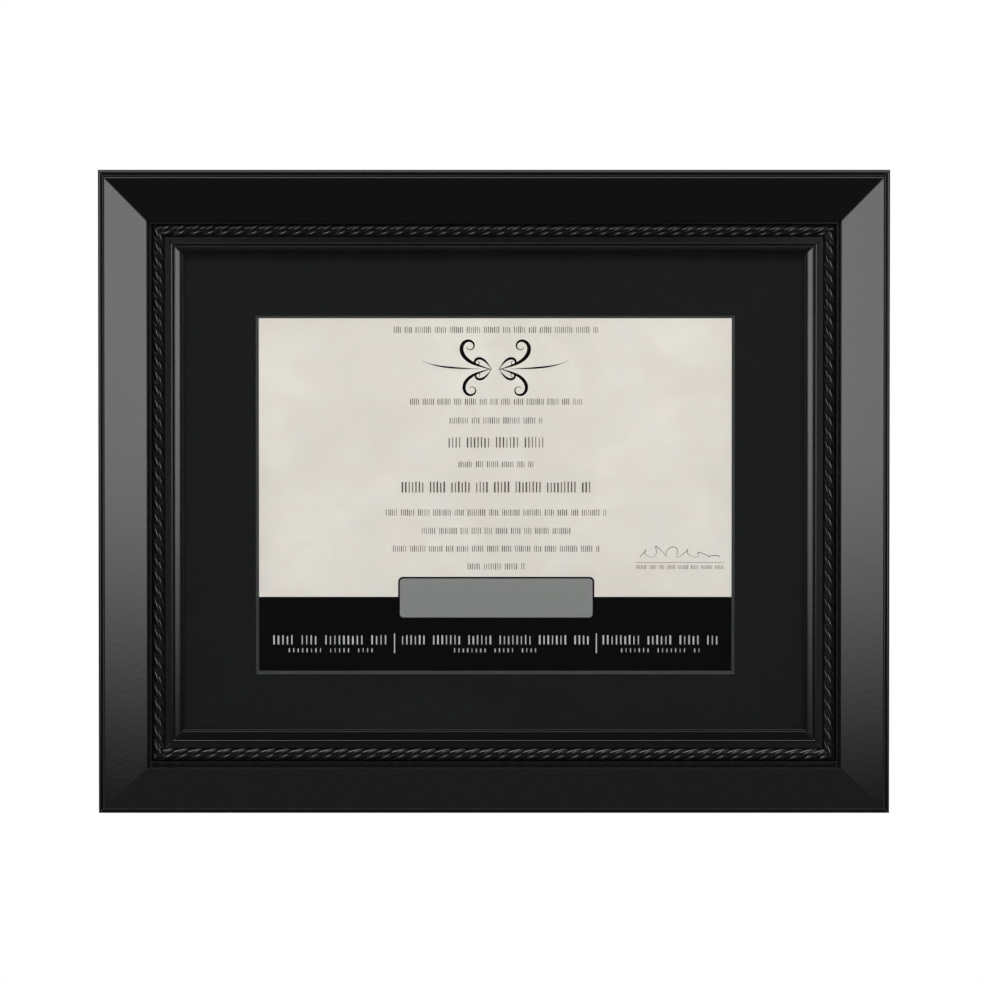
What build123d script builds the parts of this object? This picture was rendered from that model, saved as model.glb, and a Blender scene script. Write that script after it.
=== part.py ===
"""Certificate frame: four mitred rails with an applied rope bead, a glazed and
matted certificate held from behind by turn buttons, and two sawtooth hangers.

Millimetres. +X right and +Z up as seen from the front, the front faces -Y.
The rail backs lie in the plane y = 0. The origin is the middle notch of the
top hanger, where the wall nail bears.

A rail is drawn in its own coordinates: x runs along it, z = 0 is its outer
edge and z falls towards the picture, y = 0 is its back and -y is forward.
A section point is given as (inward, forward).
"""
import os
from math import ceil, cos, radians, sin

from build123d import *

# Sheets held by the frame
PANE_WIDTH = 355.6  # 14 in glass
PANE_HEIGHT = 279.4  # 11 in glass
PANE_THICK = 2.0
MAT_THICK = 1.5
MAT_WINDOW_WIDTH = 266.7  # at the face of the mat
MAT_WINDOW_HEIGHT = 203.2
MAT_BEVEL_RUN = 1.5
SHEET_WIDTH = 279.4  # 11 in
SHEET_HEIGHT = 215.9  # 8.5 in
SHEET_THICK = 0.3
BACKING_THICK = 2.2
BACKING_RECESS = 0.1  # the backing lies this far below the rail backs
RABBET_SLACK = 2.4  # play on each side between the sheets and the rabbet
LIP_OVERLAP = 5.3  # how far the lip covers the glass

# Rail section, widths from the outer edge inwards
EDGE_ROUND = 1.2
EDGE_SHELF = 1.5
FACE_ROUND = 0.4
FACE_WIDTH = 24.0
COVE_WIDTH = 1.6
COVE_SHELF = 0.9
ROPE_WIDTH = 7.5
ROPE_SIDE_GAP = 0.1
STRIP_WIDTH = 3.1  # flat strip between the rope and the fillet
FILLET_WIDTH = 1.2
QUIRK_WIDTH = 0.8
LIP_ROLL_WIDTH = 3.8
SIGHT_FILLET_WIDTH = 1.1

# Rail section, heights
LIP_EDGE = 2.2  # thickness of the lip at the sight edge
SIGHT_FILLET_RISE = 0.2
SIGHT_RISER = 0.8
LIP_ROLL_RISE = 1.6
LIP_ROLL_SWELL = 0.34
QUIRK_DEPTH = 1.0
FILLET_SWELL = 0.55
STRIP_RISE = 1.4  # height of the flat strip above the rope channel
ROPE_CHANNEL_DEPTH = 2.2
COVE_RISE = 5.2
COVE_SAG = 0.7
RIDGE_RISER = 0.6
FACE_FALL = 4.2  # the broad face falls outwards by this much
EDGE_RISER = 2.6  # between the shelf and the round at the edge
WALL_LAND = 2.5  # upright part of the outer wall
WALL_UNDERCUT = 2.0  # behind it the wall leans in by this much at the back

# Rope bead
ROPE_FOOT = 1.2
ROPE_HEIGHT = 4.0
ROPE_LOBE_PITCH = 8.22  # along the rail
ROPE_LAY_ANGLE = 30.0  # between a strand and the rail
ROPE_GROOVE_DEPTH = 1.8
ROPE_CROWN_DROP = 0.2  # strand crowns stay this far inside the rope's outline
ROPE_CROWN_WIDTH = 3.3
ROPE_SHOULDER = 0.68  # height of a strand's shoulder, as a share of the groove's depth
ROPE_SHOULDER_AT = 0.22  # and its place across the strand

# Turn buttons and their screws
BUTTON_SPACING_LONG = 210.0  # between the two buttons of a long rail
BUTTON_SPACING_SHORT = 130.0
BUTTON_THICK = 1.0
BUTTON_ARM = 15.0
BUTTON_HUB_RADIUS = 5.0
BUTTON_TIP_RADIUS = 3.2
BUTTON_RIB_LENGTH = 6.5
BUTTON_RIB_WIDTH = 2.4
BUTTON_RIB_HEIGHT = 0.5
BUTTON_RIB_START = 4.6  # from the screw to the nearer end of the rib
BUTTON_GAP = 0.1  # between the rail back, the button and the screw head
SCREW_TO_RABBET = 6.6
SCREW_RADIUS = 1.3
SCREW_RUNNING_CLEARANCE = 0.06
SCREW_LENGTH = 6.5  # below the rail back
SCREW_HEAD_RADIUS = 3.0
SCREW_HEAD_HEIGHT = 1.5
PILOT_CLEARANCE = 0.05
PILOT_EXTRA_DEPTH = 0.3

# Sawtooth hangers and their nails
HANGER_DROP = 22.0  # from the rail's outer edge to the notches
HANGER_LENGTH = 46.0
HANGER_WIDTH = 9.0
HANGER_THICK = 0.8
HANGER_END = 8.0  # flat end that is nailed down
HANGER_RAMP = 2.5
HANGER_LIFT = 1.6  # how far the toothed middle stands off the rail
HANGER_TEETH = 9
HANGER_TOOTH_PITCH = 2.8
HANGER_TOOTH_DEPTH = 1.5
HANGER_CORNER = 2.0
NAIL_INSET = 4.0  # from the hanger's end
NAIL_RADIUS = 0.7
NAIL_LENGTH = 7.0  # below the rail back
NAIL_HEAD_RADIUS = 1.7
NAIL_HEAD_THICK = 0.6

# V-nails that hold the mitres
V_NAIL_INSETS = (11.0, 27.0)  # from the outer edge, along the rail's width
V_NAIL_LEG = 4.5
V_NAIL_THICK = 0.5
V_NAIL_DEPTH = 6.0
V_NAIL_HALF_ANGLE = 50.0  # between a leg and the mitre line
V_NAIL_CLEARANCE = 0.05

# Inward positions along the section
face_start = EDGE_ROUND + EDGE_SHELF + FACE_ROUND
ridge_at = face_start + FACE_WIDTH
shelf_at = ridge_at + COVE_WIDTH
channel_at = shelf_at + COVE_SHELF
channel_end = channel_at + ROPE_WIDTH + 2 * ROPE_SIDE_GAP
fillet_at = channel_end + STRIP_WIDTH
fillet_end = fillet_at + FILLET_WIDTH
quirk_end = fillet_end + QUIRK_WIDTH
roll_end = quirk_end + LIP_ROLL_WIDTH
RAIL_WIDTH = roll_end + SIGHT_FILLET_WIDTH
rabbet_at = RAIL_WIDTH - LIP_OVERLAP - RABBET_SLACK

# Forward positions along the section
backing_back = BACKING_RECESS
sheet_back = backing_back + BACKING_THICK
mat_back = sheet_back + SHEET_THICK
pane_back = mat_back + MAT_THICK
rabbet_depth = pane_back + PANE_THICK
sight_front = rabbet_depth + LIP_EDGE
sight_riser_foot = sight_front + SIGHT_FILLET_RISE
roll_foot = sight_riser_foot + SIGHT_RISER
lip_top = roll_foot + LIP_ROLL_RISE
quirk_floor = lip_top - QUIRK_DEPTH
rope_seat = lip_top - ROPE_CHANNEL_DEPTH
strip_top = rope_seat + STRIP_RISE
shelf_top = rope_seat + ROPE_CHANNEL_DEPTH
cove_head = shelf_top + COVE_RISE
ridge_top = cove_head + RIDGE_RISER
face_edge = ridge_top - FACE_FALL
edge_riser_top = face_edge - FACE_ROUND
edge_shelf_top = edge_riser_top - EDGE_RISER
wall_top = edge_shelf_top - EDGE_ROUND
wall_foot = wall_top - WALL_LAND

# Overall sizes
FRAME_WIDTH = PANE_WIDTH - 2 * LIP_OVERLAP + 2 * RAIL_WIDTH
FRAME_HEIGHT = PANE_HEIGHT - 2 * LIP_OVERLAP + 2 * RAIL_WIDTH
centre_z = HANGER_DROP - FRAME_HEIGHT / 2
sheets_z = centre_z - RABBET_SLACK  # the sheets stand on the bottom rabbet
screw_at = rabbet_at - SCREW_TO_RABBET

# Rail name: length, distance from the frame's centre to the rail's outer edge, turn about y
RAILS = {
    "top": (FRAME_WIDTH, FRAME_HEIGHT / 2, 0),
    "right": (FRAME_HEIGHT, FRAME_WIDTH / 2, 90),
    "bottom": (FRAME_WIDTH, FRAME_HEIGHT / 2, 180),
    "left": (FRAME_HEIGHT, FRAME_WIDTH / 2, 270),
}
# Button name: rail, place along the rail
BUTTONS = {
    "turn_button_top_left": ("top", -BUTTON_SPACING_LONG / 2),
    "turn_button_top_right": ("top", BUTTON_SPACING_LONG / 2),
    "turn_button_right_upper": ("right", -BUTTON_SPACING_SHORT / 2),
    "turn_button_right_lower": ("right", BUTTON_SPACING_SHORT / 2),
    "turn_button_bottom_right": ("bottom", -BUTTON_SPACING_LONG / 2),
    "turn_button_bottom_left": ("bottom", BUTTON_SPACING_LONG / 2),
    "turn_button_left_lower": ("left", -BUTTON_SPACING_SHORT / 2),
    "turn_button_left_upper": ("left", BUTTON_SPACING_SHORT / 2),
}
HANGER_RAILS = ("top", "left")


def place(rail):
    """Location that carries rail coordinates to the frame."""
    _, outer, turn = RAILS[rail]
    return Pos(0, 0, centre_z) * Rot(0, turn, 0) * Pos(0, 0, outer)


def at(inward, forward):
    """Section point on the YZ plane, y = -forward and z = -inward."""
    return (-forward, -inward)


def bar(outline, length):
    """Prism of a section outline along a rail."""
    face = make_face([Plane.YZ * edge for edge in outline])
    return extrude(face, length / 2, both=True)


def mitre_block(length, inner, outer, depth):
    """Block between two section widths with both ends cut at 45 degrees."""
    half = length / 2
    ends = Polyline(
        (-half + outer, -outer),
        (half - outer, -outer),
        (half - inner, -inner),
        (-half + inner, -inner),
        close=True,
    )
    return extrude(make_face(Plane.XZ * ends), depth)


def rail_outline():
    """Section of the moulding, from the back outer corner round to the rabbet."""
    round_out = ThreePointArc(
        at(0, wall_top),
        at(EDGE_ROUND * (1 - cos(radians(45))), wall_top + EDGE_ROUND * sin(radians(45))),
        at(EDGE_ROUND, edge_shelf_top),
    )
    riser_at = EDGE_ROUND + EDGE_SHELF
    round_in = ThreePointArc(
        at(riser_at, edge_riser_top),
        at(riser_at + FACE_ROUND * (1 - cos(radians(45))), edge_riser_top + FACE_ROUND * sin(radians(45))),
        at(face_start, face_edge),
    )
    cove = bowed(at(ridge_at, cove_head), at(shelf_at, shelf_top), -COVE_SAG)
    fillet_bead = bowed(at(fillet_at, strip_top), at(fillet_end, strip_top), FILLET_SWELL)
    lip_roll = bowed(at(quirk_end, lip_top), at(roll_end, roll_foot), LIP_ROLL_SWELL)
    return [
        Line(at(WALL_UNDERCUT, 0), at(0, wall_foot)),
        Line(at(0, wall_foot), at(0, wall_top)),
        round_out,
        Line(at(EDGE_ROUND, edge_shelf_top), at(riser_at, edge_shelf_top)),
        Line(at(riser_at, edge_shelf_top), at(riser_at, edge_riser_top)),
        round_in,
        Line(at(face_start, face_edge), at(ridge_at, ridge_top)),
        Line(at(ridge_at, ridge_top), at(ridge_at, cove_head)),
        cove,
        Line(at(shelf_at, shelf_top), at(channel_at, shelf_top)),
        Line(at(channel_at, shelf_top), at(channel_at, rope_seat)),
        Line(at(channel_at, rope_seat), at(channel_end, rope_seat)),
        Line(at(channel_end, rope_seat), at(channel_end, strip_top)),
        Line(at(channel_end, strip_top), at(fillet_at, strip_top)),
        fillet_bead,
        Line(at(fillet_end, strip_top), at(fillet_end, quirk_floor)),
        Line(at(fillet_end, quirk_floor), at(quirk_end, quirk_floor)),
        Line(at(quirk_end, quirk_floor), at(quirk_end, lip_top)),
        lip_roll,
        Line(at(roll_end, roll_foot), at(roll_end, sight_riser_foot)),
        Line(at(roll_end, sight_riser_foot), at(RAIL_WIDTH, sight_front)),
        Line(at(RAIL_WIDTH, sight_front), at(RAIL_WIDTH, rabbet_depth)),
        Line(at(RAIL_WIDTH, rabbet_depth), at(rabbet_at, rabbet_depth)),
        Line(at(rabbet_at, rabbet_depth), at(rabbet_at, 0)),
        Line(at(rabbet_at, 0), at(WALL_UNDERCUT, 0)),
    ]


def bowed(start, end, swell):
    """Arc between two section points that swells forward, or sinks where swell is negative."""
    across = (end[0] - start[0], end[1] - start[1])
    span = (across[0] ** 2 + across[1] ** 2) ** 0.5
    middle = (
        (start[0] + end[0]) / 2 + across[1] / span * swell,
        (start[1] + end[1]) / 2 - across[0] / span * swell,
    )
    return ThreePointArc(start, middle, end)


def drill(x, inward, radius, depth):
    """Blind hole from the back of a rail."""
    return Pos(x, -depth / 2, -inward) * Rot(90, 0, 0) * Cylinder(radius, depth)


def v_nail(length, end, inset, margin):
    """Folded strip across a mitre, its point towards the outer corner."""
    half = V_NAIL_THICK / 2 + margin
    reach = V_NAIL_LEG + margin
    strip = Pos((reach - half) / 2, 0) * Rectangle(reach + half, 2 * half)
    outline = Rot(0, 0, V_NAIL_HALF_ANGLE) * strip + Rot(0, 0, -V_NAIL_HALF_ANGLE) * strip
    corner = end * (length / 2 - inset)
    inwards = -45 if end < 0 else -135
    flat = Plane.XZ * Pos(corner, -inset) * Rot(0, 0, inwards) * outline
    return extrude(flat, V_NAIL_DEPTH + margin)


def rail(name):
    """Mitred, rabbeted rail with its nail slots and pilot holes."""
    length, _, _ = RAILS[name]
    body = bar(rail_outline(), length) & mitre_block(length, 0, RAIL_WIDTH, ridge_top)
    for end in (-1, 1):
        for inset in V_NAIL_INSETS:
            body -= v_nail(length, end, inset, V_NAIL_CLEARANCE)
    for host, x in BUTTONS.values():
        if host == name:
            body -= drill(x, screw_at, SCREW_RADIUS + PILOT_CLEARANCE, SCREW_LENGTH + PILOT_EXTRA_DEPTH)
    if name in HANGER_RAILS:
        for x in nail_places():
            body -= drill(x, hanger_axis(), NAIL_RADIUS + PILOT_CLEARANCE, NAIL_LENGTH + PILOT_EXTRA_DEPTH)
    return place(name) * body


def rope_strands(length):
    """Slab of parallel strands laid at an angle to the rail, each crowned in four facets."""
    lay = radians(ROPE_LAY_ANGLE)
    pitch = ROPE_LOBE_PITCH * sin(lay)
    reach = length / 2 * sin(lay) + ROPE_WIDTH
    count = 2 * ceil(reach / pitch)
    crown = ROPE_HEIGHT - ROPE_CROWN_DROP
    valley = crown - ROPE_GROOVE_DEPTH
    shoulder = valley + ROPE_SHOULDER * ROPE_GROOVE_DEPTH
    left = -count * pitch / 2
    ridge = []
    for k in range(count):
        start = left + k * pitch
        ridge.append((start, valley))
        ridge.append((start + ROPE_SHOULDER_AT * pitch, shoulder))
        ridge.append((start + pitch / 2, crown))
        ridge.append((start + (1 - ROPE_SHOULDER_AT) * pitch, shoulder))
    outline = Polyline((left, 0), *ridge, (-left, valley), (-left, 0), close=True)
    along = (cos(lay), 0, sin(lay))
    across = (-sin(lay), 0, cos(lay))
    section = Plane(origin=(0, 0, 0), x_dir=across, z_dir=along)
    return extrude(make_face(section * outline), length / 2 + ROPE_WIDTH, both=True)


def rope_bead(name):
    """Twisted rope strip for one rail: strands trimmed to a half-round, mitred at both ends."""
    length, _, _ = RAILS[name]
    start = channel_at + ROPE_SIDE_GAP
    stop = start + ROPE_WIDTH
    middle = (start + stop) / 2
    crown = rope_seat + ROPE_HEIGHT
    foot = rope_seat + ROPE_FOOT
    outline = Polyline(
        at(start, rope_seat),
        at(start, foot),
        at(middle - ROPE_CROWN_WIDTH / 2, crown),
        at(middle + ROPE_CROWN_WIDTH / 2, crown),
        at(stop, foot),
        at(stop, rope_seat),
        close=True,
    )
    body = bar(outline.edges(), length) & mitre_block(length, start, stop, crown)
    strands = Pos(0, -rope_seat, -middle) * rope_strands(length - 2 * start)
    return place(name) * (body & strands)


def sheet(width, height, back, thick, z):
    """Flat rectangular sheet standing in the frame."""
    return Pos(0, -back - thick / 2, z) * Box(width, thick, height)


def mat_board():
    """Mat with a window whose edges slope open towards the front."""
    board = sheet(PANE_WIDTH, PANE_HEIGHT, mat_back, MAT_THICK, sheets_z)
    face = Rectangle(MAT_WINDOW_WIDTH, MAT_WINDOW_HEIGHT)
    back = Rectangle(MAT_WINDOW_WIDTH - 2 * MAT_BEVEL_RUN, MAT_WINDOW_HEIGHT - 2 * MAT_BEVEL_RUN)
    window = loft([
        Plane.XZ.offset(mat_back) * back,
        Plane.XZ.offset(mat_back + MAT_THICK) * face,
    ])
    return board - Pos(0, 0, sheets_z) * window


def turn_button():
    """Stamped button about its screw axis, its arm along -z over the backing."""
    hub = Circle(BUTTON_HUB_RADIUS)
    tip = Pos(0, -BUTTON_ARM) * Circle(BUTTON_TIP_RADIUS)
    outline = make_hull(hub.edges() + tip.edges())
    outline -= Circle(SCREW_RADIUS + SCREW_RUNNING_CLEARANCE)
    plate = extrude(Plane.XZ.offset(-BUTTON_GAP) * outline, -BUTTON_THICK)
    rib_middle = BUTTON_RIB_START + BUTTON_RIB_LENGTH / 2
    foot = Pos(0, -rib_middle) * Rectangle(BUTTON_RIB_WIDTH, BUTTON_RIB_LENGTH)
    crest = Pos(0, -rib_middle) * Rectangle(
        BUTTON_RIB_WIDTH - 2 * BUTTON_RIB_HEIGHT, BUTTON_RIB_LENGTH - 2 * BUTTON_RIB_HEIGHT
    )
    back = BUTTON_GAP + BUTTON_THICK
    plate += loft([Plane.XZ.offset(-back) * foot, Plane.XZ.offset(-back - BUTTON_RIB_HEIGHT) * crest])
    return plate


def screw():
    """Cheese-head screw, its axis along y."""
    seat = BUTTON_GAP + BUTTON_THICK + BUTTON_GAP
    head = Pos(0, 0, seat + SCREW_HEAD_HEIGHT / 2) * Cylinder(SCREW_HEAD_RADIUS, SCREW_HEAD_HEIGHT)
    length = seat + SCREW_LENGTH
    shank = Pos(0, 0, seat - length / 2) * Cylinder(SCREW_RADIUS, length)
    return Rot(-90, 0, 0) * (head + shank)


def button_place(name):
    """Location of a button's screw axis at the rail back."""
    host, x = BUTTONS[name]
    return place(host) * Pos(x, 0, -screw_at)


def hanger_axis():
    """Inward position of the hanger's long axis."""
    return HANGER_DROP + HANGER_TOOTH_DEPTH - HANGER_WIDTH / 2


def nail_places():
    """Places of a hanger's two nails along its rail."""
    reach = HANGER_LENGTH / 2 - NAIL_INSET
    return (-reach, reach)


def hanger(name):
    """Sawtooth hanger: flat nailed ends and a raised middle with notches on its inner edge."""
    half = HANGER_LENGTH / 2
    ramp = half - HANGER_END
    flat = ramp - HANGER_RAMP
    lift = HANGER_LIFT
    top = HANGER_THICK
    strip = Polyline(
        (-half, 0), (-ramp, 0), (-flat, lift), (flat, lift), (ramp, 0), (half, 0),
        (half, top), (ramp, top), (flat, lift + top), (-flat, lift + top), (-ramp, top), (-half, top),
        close=True,
    )
    body = extrude(make_face(strip), HANGER_WIDTH / 2, both=True)
    body = chamfer(body.edges().filter_by(Axis.Y).group_by(Axis.X)[0], HANGER_CORNER)
    body = chamfer(body.edges().filter_by(Axis.Y).group_by(Axis.X)[-1], HANGER_CORNER)
    for k in range(HANGER_TEETH):
        x = (k - (HANGER_TEETH - 1) / 2) * HANGER_TOOTH_PITCH
        edge = -HANGER_WIDTH / 2
        notch = Polyline(
            (x - HANGER_TOOTH_PITCH / 2, edge),
            (x, edge + HANGER_TOOTH_DEPTH),
            (x + HANGER_TOOTH_PITCH / 2, edge),
            close=True,
        )
        body -= extrude(make_face(Plane.XZ * notch), -lift - 2 * top)
    for x in nail_places():
        body -= Pos(x, top / 2, 0) * Rot(90, 0, 0) * Cylinder(NAIL_RADIUS + PILOT_CLEARANCE, 2 * top)
    return place(name) * Pos(0, 0, -hanger_axis()) * body


def hanger_nail():
    """Flat-headed nail through a hanger's end, its axis along y."""
    head = Pos(0, 0, HANGER_THICK + NAIL_HEAD_THICK / 2) * Cylinder(NAIL_HEAD_RADIUS, NAIL_HEAD_THICK)
    length = HANGER_THICK + NAIL_LENGTH
    shank = Pos(0, 0, HANGER_THICK - length / 2) * Cylinder(NAIL_RADIUS, length)
    return Rot(-90, 0, 0) * (head + shank)


def save(shape, name):
    """Write one node."""
    export_step(shape, f"parts/{name}.step")


os.makedirs("parts", exist_ok=True)

for rail_name in RAILS:
    save(rail(rail_name), f"{rail_name}_rail")
    save(rope_bead(rail_name), f"rope_bead_{rail_name}")

v_nails = []
for rail_name in ("top", "bottom"):
    for side in (-1, 1):
        for depth_in in V_NAIL_INSETS:
            v_nails.append(place(rail_name) * v_nail(FRAME_WIDTH, side, depth_in, 0))
save(Compound(children=v_nails), "v_nails")

save(sheet(PANE_WIDTH, PANE_HEIGHT, pane_back, PANE_THICK, sheets_z), "glass_pane")
save(mat_board(), "mat_board")
save(sheet(SHEET_WIDTH, SHEET_HEIGHT, sheet_back, SHEET_THICK, sheets_z), "certificate")
save(sheet(PANE_WIDTH, PANE_HEIGHT, backing_back, BACKING_THICK, sheets_z), "backing_board")

for button_name in BUTTONS:
    save(button_place(button_name) * turn_button(), button_name)
save(Compound(children=[button_place(b) * screw() for b in BUTTONS]), "turn_button_screws")

hanger_nails = []
for rail_name in HANGER_RAILS:
    save(hanger(rail_name), f"sawtooth_hanger_{rail_name}")
    for nail_x in nail_places():
        hanger_nails.append(place(rail_name) * Pos(nail_x, 0, -hanger_axis()) * hanger_nail())
save(Compound(children=hanger_nails), "hanger_nails")
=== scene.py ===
"""Dressed model of a wall-hung certificate frame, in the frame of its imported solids.

Metres in the meshes; the sizes below are millimetres. +X right, +Z up, the picture faces -Y and the
rail backs lie in y = 0. A rail is worked out in its own coordinates: x along it, u inward from its
outer edge and v forward from its back.
"""
from math import cos, pi, radians, sin

import bpy
import numpy as np
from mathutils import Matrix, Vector


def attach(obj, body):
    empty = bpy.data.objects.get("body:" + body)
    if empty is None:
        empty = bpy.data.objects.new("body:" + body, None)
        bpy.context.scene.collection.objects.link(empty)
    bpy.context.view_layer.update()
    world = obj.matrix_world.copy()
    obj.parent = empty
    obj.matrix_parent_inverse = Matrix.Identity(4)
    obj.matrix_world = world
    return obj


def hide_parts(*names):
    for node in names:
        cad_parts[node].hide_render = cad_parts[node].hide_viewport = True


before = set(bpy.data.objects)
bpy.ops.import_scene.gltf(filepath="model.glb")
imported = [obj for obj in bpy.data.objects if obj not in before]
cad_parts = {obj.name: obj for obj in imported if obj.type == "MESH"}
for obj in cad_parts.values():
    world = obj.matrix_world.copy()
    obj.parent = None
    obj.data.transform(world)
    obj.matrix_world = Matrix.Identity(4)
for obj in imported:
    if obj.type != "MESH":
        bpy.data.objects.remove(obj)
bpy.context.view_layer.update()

MM = 0.001
ROOT = "frame"

# Frame and rails
FRAME_WIDTH = 439.6
FRAME_HEIGHT = 363.4
CENTRE_Z = -159.7
RAILS = {  # length, outer edge from the frame's centre, turn about Y in degrees
    "top": (FRAME_WIDTH, FRAME_HEIGHT / 2, 0),
    "right": (FRAME_HEIGHT, FRAME_WIDTH / 2, 90),
    "bottom": (FRAME_WIDTH, FRAME_HEIGHT / 2, 180),
    "left": (FRAME_HEIGHT, FRAME_WIDTH / 2, 270),
}
MITRE_EASE = 0.15  # how far the mitre's arris is eased along the rail
MITRE_DIP = 0.05  # and into the surface
FLAT_HOLD = 0.03  # beside an eased corner, where a flat side begins

# Moulding, with U inward from the outer edge and V forward from the back
RAIL_WIDTH = 47.3
UNDERCUT_U = 2.0
PAINT_EDGE_U = (4.0, 6.0)  # points on the back beside the edge of the lacquer
LAND_V = (5.8, 9.5)
STEP_U, STEP_V = (2.7, 2.8), 12.5
RIDGE_U, RIDGE_V = 27.1, 16.7
COVE_TOP, COVE_FOOT = (RIDGE_U, 16.1), (28.7, 10.9)
CHANNEL_U = (29.6, 37.3)
STRIP_U, STRIP_V = 40.4, 10.1
BEAD_OUTER, BEAD_INNER = (40.55, 10.75), (41.6, 10.39)
GROOVE_V = 9.9
LIP_OUTER, LIP_INNER = (42.4, 10.6), (46.4, 9.36)
SIGHT_V = 8.4
RABBET_U, RABBET_V = 39.6, 6.1
BARE_U, BARE_V = 3.2, 6.2  # bare wood lies further in than U and nearer the back than V
SATIN_U, SATIN_V = (27.3, 40.45), 8.0  # the recess has a satin finish between these, in front of V

# Rope bead
ROPE_AT = 33.45
ROPE_SEAT = 8.7
ROPE_HALF_WIDTH = 3.75
ROPE_CROWN = 2.9
ROPE_ROUND = 2  # power of the outline over the strip: 2 is an ellipse, more is flatter on top
ROPE_GROOVE = 0.9
ROPE_CREST = 2.2  # power of the strand's section: 2 is a parabola, more is broader on the crest
ROPE_LEAN = 1.25  # run along the rail for each unit across it
ROPE_WRAP = 0.95  # how much the strands turn over the edges
ROPE_EDGE = 0.1  # how much shallower the grooves are there
ROPE_SKIN = 0.02  # least height in a groove
ROPE_CLEAR = 0.02  # clearance over the seat
ROPE_LOBE_PITCH = 8.14
ROPE_SATIN = 0.35  # share of the recess's satin finish
ROPE_TURN = 26.0  # stretch before a mitre
ROPE_LAST = 0.3  # least share of a column before the mitre

# Sheets
SHEETS_Z = -162.1
MAT_WIDTH = 355.6
MAT_HEIGHT = 279.4
MAT_BACK = 2.6
MAT_FACE = 4.07
MAT_EASE = 0.12
WINDOW_WIDTH = 266.0
WINDOW_HEIGHT = 202.9
WINDOW_X = 0.7  # the window and the print lie a little right of the frame's middle
MAT_BEVEL_RUN = 1.72
PAPER_IN, PAPER_THICK, PAPER_DIP = 0.25, 0.1, 0.02  # the face paper at the cut edge of the window
PRINT_FACE = 2.6

# Print, measured from the middle of the window and the sheet's centre
PRINT_SEED = 11
INK_LIFT, BAND_LIFT, PANEL_LIFT, FACE_LIFT = 0.02, 0.02, 0.035, 0.05
GROUP_GAP = 1.3  # further gap between groups of ticks, in pitches
TEXT_MIDDLE = 0.4
TEXT_LINES = [  # height over the centre, width, tick height, tick pitch, share of ink
    (93.2, 113, 3.6, 1.35, 0.3),
    (52.6, 95, 3.6, 1.35, 0.3),
    (42.0, 51, 3.6, 1.35, 0.3),
    (29.6, 52, 6.0, 2.1, 0.3),
    (17.2, 41, 3.5, 1.35, 0.3),
    (4.3, 104, 6.2, 2.2, 0.32),
    (-10.1, 122, 3.6, 1.35, 0.3),
    (-20.5, 82, 3.6, 1.35, 0.3),
    (-30.6, 114, 3.5, 1.35, 0.3),
    (-40.6, 31, 3.5, 1.35, 0.3),
]
RULE_MIDDLE, RULE_Z, RULE_LENGTH, RULE_THICK = 102.6, -38.4, 49.0, 0.22
UNDER_RULE = (-41.0, 48, 2.3, 1.0, 0.26)  # a further line of ticks, as above
WAVE_START, WAVE_RUN, WAVE_SWAY, WAVE_SWAYS = 80.5, 44.0, 1.4, 7.5
WAVE_FOOT, WAVE_HIGH, WAVE_FALL, WAVE_LOOPS = -35.4, 9.0, 7.5, 5.5
WAVE_THICK, WAVE_SWELL = 0.3, 0.12
SCROLLS = [  # start, heading, length, bend, thickness
    ((1.5, 70.5), 0.30, 40, 7.2, 2.2),
    ((1.5, 71.5), -0.30, 36, -6.8, 1.9),
    ((2.0, 71.0), 0.95, 19, -7.6, 1.5),
    ((2.0, 71.0), -0.95, 18, 7.4, 1.4),
    ((8.0, 71.0), 0.04, 33, 0.4, 1.0),
]
SCROLL_TIP = 0.16  # share of the thickness at the ends
BAND_WIDTH = WINDOW_WIDTH - 2 * MAT_BEVEL_RUN
BAND_TOP, BAND_FOOT = -57.85, -WINDOW_HEIGHT / 2 + MAT_BEVEL_RUN
BAND_LINES = [  # middle, then as for the text lines
    (-92.0, -82.2, 62, 5.2, 2.7, 0.26),
    (0.0, -82.2, 103, 5.2, 2.7, 0.26),
    (91.6, -82.2, 63, 5.2, 2.7, 0.26),
    (-91.5, -88.1, 46, 2.3, 2.6, 0.2),
    (-0.1, -88.1, 45, 2.3, 2.6, 0.2),
    (91.8, -88.1, 43, 2.3, 2.6, 0.2),
]
BAND_BARS = [(-56.0, -84.1, 0.6, 11.2), (56.2, -84.1, 0.6, 11.2)]  # middle, height, width, length
PANEL = (-54.0, 55.1, -70.5, -46.5)  # left, right, foot, top
PANEL_CORNER, PANEL_RIM, FACE_CORNER = 2.8, 1.0, 2.0

# Turn buttons, with the screw's axis as their origin and the arm pointing inward
BUTTONS = {
    "turn_button_top_left": ("top", -105.0),
    "turn_button_top_right": ("top", 105.0),
    "turn_button_right_upper": ("right", -65.0),
    "turn_button_right_lower": ("right", 65.0),
    "turn_button_bottom_right": ("bottom", -105.0),
    "turn_button_bottom_left": ("bottom", 105.0),
    "turn_button_left_lower": ("left", -65.0),
    "turn_button_left_upper": ("left", 65.0),
}
BUTTON_HUB, BUTTON_TIP, BUTTON_REACH = 5.0, 3.2, 15.0
BUTTON_UNDER, BUTTON_TOP = 0.1, 1.1
BUTTON_HOLE, HOLE_EASE = 1.36, 0.15
BUTTON_ROLL, FOOT_EASE = 0.28, 0.12
BUTTON_CROWD = 0.78  # how much the grid crowds towards the tip
RIB_MIDDLE, RIB_HALF_LENGTH, RIB_HALF_WIDTH, RIB_HEIGHT = 7.85, 3.25, 1.2, 0.5
RIB_END_SLOPE, RIB_SIDE_SLOPE = 0.9, 0.7

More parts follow.
